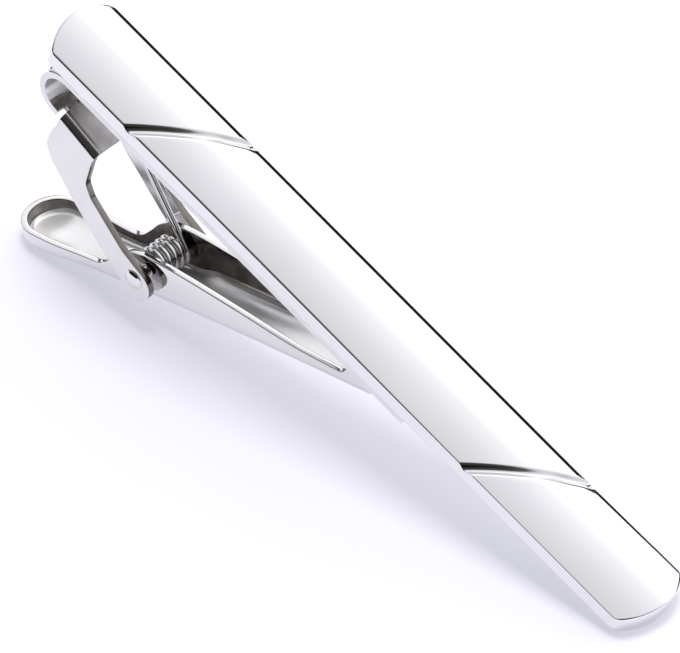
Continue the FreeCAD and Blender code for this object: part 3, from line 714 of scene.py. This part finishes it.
film_x = list(np.linspace(7.0, -25.9, 34)) + list(np.linspace(-26.0, -27.58, 14))
gap = -SIDE - arc_top(-27.58)
hollow = [(-27.59, 0.84), (-27.585, 0.66), (-27.58, 0.48), (-27.585, 0.32), (-27.60, 0.17), (-27.64, 0.05)]
verts, n_y = [], 13
for y in np.linspace(-1, 1, n_y):
    low = [(x, -SIDE - 0.05 if x > BX else arc_top(x) - 0.012) for x in film_x]
    low += [(x, -SIDE + 0.006 - f * gap) for x, f in hollow]
    half = [2.7 + 0.27 * min(1.0, max(0.0, (BX - x) / 0.4)) for x, z in low]
    verts += [(x, y * h, z) for (x, z), h in zip(low, half)]
    verts += [(x, y * h, -SIDE + 0.006) for (x, z), h in reversed(list(zip(low, half)))]
n_l = len(verts) // n_y
faces = grid_faces(n_y, n_l, close_cols=True)
m_l = n_l // 2
for base in (0, (n_y - 1) * n_l):
    for i in range(m_l - 1):
        faces.append((base + i, base + i + 1, base + n_l - 2 - i, base + n_l - 1 - i))
solder = make("solder_seam", np.array(verts), faces, merge=1e-7)
weighted(solder)
finish_piece(solder, SOLDER, "solder_film", ROOT)

# ------------------------------------------------------------------ floor
fm, fnt, fb = new_material("mat_floor")
fb.inputs["Base Color"].default_value = (0.444, 0.444, 0.462, 1)
fb.inputs["Roughness"].default_value = 0.9
fb.inputs["Specular IOR Level"].default_value = 0.0
# a light table: lit from below as well, so shadows stay pale
fb.inputs["Emission Color"].default_value = (0.48, 0.477, 0.548, 1)
fb.inputs["Emission Strength"].default_value = 1.0
me = bpy.data.meshes.new("floor")
s = 6.0
me.from_pydata([(-s, -s, -2e-5), (s, -s, -2e-5), (s, s, -2e-5), (-s, s, -2e-5)], [], [(0, 1, 2, 3)])
floor = bpy.data.objects.new("floor", me)
bpy.context.scene.collection.objects.link(floor)
floor.data.materials.append(fm)

# a low pale kerb round the table, the background of the low views
bm_, bnt, bb = new_material("mat_screen")
bb.inputs["Base Color"].default_value = (0, 0, 0, 1)
bb.inputs["Roughness"].default_value = 1.0
bb.inputs["Specular IOR Level"].default_value = 0.0
bb.inputs["Emission Color"].default_value = (0.84, 0.84, 0.91, 1)
bb.inputs["Emission Strength"].default_value = 1.0
ring = [(0.75 * math.cos(a), 0.75 * math.sin(a)) for a in np.linspace(0, 2 * math.pi, 96, endpoint=False)]
me = bpy.data.meshes.new("screen")
me.from_pydata([(x, y, z) for z in (-0.001, 0.020) for x, y in ring], [], grid_faces(2, 96, close_cols=True))
screen = bpy.data.objects.new("screen", me)
bpy.context.scene.collection.objects.link(screen)
screen.data.materials.append(bm_)
screen.visible_glossy = screen.visible_diffuse = screen.visible_shadow = screen.visible_transmission = False

# ------------------------------------------------------------------ studio: a white tent, darker towards the front
world = bpy.data.worlds.new("tent")
bpy.context.scene.world = world
world.use_nodes = True
wn = world.node_tree
bg = wn.nodes["Background"]
wc = wn.nodes.new("ShaderNodeTexCoord")
sep = wn.nodes.new("ShaderNodeSeparateXYZ")
wn.links.new(wc.outputs["Generated"], sep.inputs[0])


def ramp_node(src, stops):
    r = wn.nodes.new("ShaderNodeValToRGB")
    mr = wn.nodes.new("ShaderNodeMapRange")
    mr.inputs["From Min"].default_value, mr.inputs["From Max"].default_value = -1.0, 1.0
    wn.links.new(src, mr.inputs["Value"])
    wn.links.new(mr.outputs["Result"], r.inputs["Fac"])
    el = r.color_ramp.elements
    while len(el) < len(stops):
        el.new(0.5)
    for e, (pos, col) in zip(el, stops):
        e.position = (pos + 1) / 2
        e.color = (*col, 1)
    return r


across = ramp_node(sep.outputs["Y"], [
    (-1.0, (0.030, 0.028, 0.026)), (-0.50, (0.035, 0.032, 0.030)), (-0.30, (0.10, 0.097, 0.095)),
    (-0.16, (0.42, 0.42, 0.44)), (-0.04, (0.575, 0.573, 0.60)), (0.25, (0.66, 0.657, 0.69)),
    (0.515, (0.80, 0.80, 0.825)), (0.64, (1.0, 1.0, 1.0)), (0.864, (1.0, 1.0, 1.0)),
    (0.872, (0.03, 0.03, 0.03)), (1.0, (0.03, 0.03, 0.03))])
height = ramp_node(sep.outputs["Z"], [
    (-1.0, (1, 1, 1)), (0.0, (0.10, 0.10, 0.10)), (0.22, (0.12, 0.12, 0.12)), (0.32, (1, 1, 1)), (1.0, (1, 1, 1))])
panel = ramp_node(sep.outputs["X"], [
    (-1.0, (0, 0, 0)), (0.865, (0, 0, 0)), (0.93, (0.55, 0.55, 0.57)), (1.0, (0.6, 0.6, 0.62))])
lit = wn.nodes.new("ShaderNodeMix")
lit.data_type, lit.blend_type = "RGBA", "LIGHTEN"
lit.inputs["Factor"].default_value = 1.0
wn.links.new(across.outputs["Color"], lit.inputs["A"])
wn.links.new(panel.outputs["Color"], lit.inputs["B"])
mix = wn.nodes.new("ShaderNodeMix")
mix.data_type, mix.blend_type = "RGBA", "MULTIPLY"
mix.inputs["Factor"].default_value = 1.0
wn.links.new(lit.outputs["Result"], mix.inputs["A"])
wn.links.new(height.outputs["Color"], mix.inputs["B"])
wn.links.new(mix.outputs["Result"], bg.inputs["Color"])
bg.inputs["Strength"].default_value = 1.44


def softbox(name, at, aim, size, watts):
    d = bpy.data.lights.new(name, "AREA")
    d.shape, d.size, d.energy = "DISK", size, watts
    o = bpy.data.objects.new(name, d)
    bpy.context.scene.collection.objects.link(o)
    o.location = at
    o.rotation_mode = "QUATERNION"
    o.rotation_quaternion = (Vector(aim) - Vector(at)).to_track_quat("-Z", "Y")
    return o


key = softbox("key", (0.02, 0.03, 0.80), (0, 0, 0.0), 0.34, 4.4)
key.visible_glossy = False

# ------------------------------------------------------------------ camera, a long lens
S_PX = 14.78
right = dir_row((10.0904, 10.2605, 3.3648)).normalized()
up = dir_row((-10.1434, 7.4274, 7.7693)).normalized()
back = right.cross(up).normalized()
FW, FH = 680.0, 653.0
origin = Vector(to_row([(0, 0, 0)])[0])
aim = origin + right * ((FW / 2 - 363.8) / S_PX / 1000) - up * ((FH / 2 - 311.0) / S_PX / 1000)
DIST = 1.6
cam_data = bpy.data.cameras.new("camera")
cam_data.type = "PERSP"
cam_data.sensor_width = 36.0
cam_data.lens = S_PX * DIST * 1000 * 36.0 / FW
cam_data.clip_start, cam_data.clip_end = 0.05, 30.0
cam = bpy.data.objects.new("camera", cam_data)
bpy.context.scene.collection.objects.link(cam)
cam.matrix_world = Matrix((
    (right.x, up.x, back.x, 0), (right.y, up.y, back.y, 0), (right.z, up.z, back.z, 0), (0, 0, 0, 1)))
cam.location = aim + back * DIST
bpy.context.scene.camera = cam
bpy.context.scene.view_settings.view_transform = "Standard"
bpy.context.scene.view_settings.look = "None"
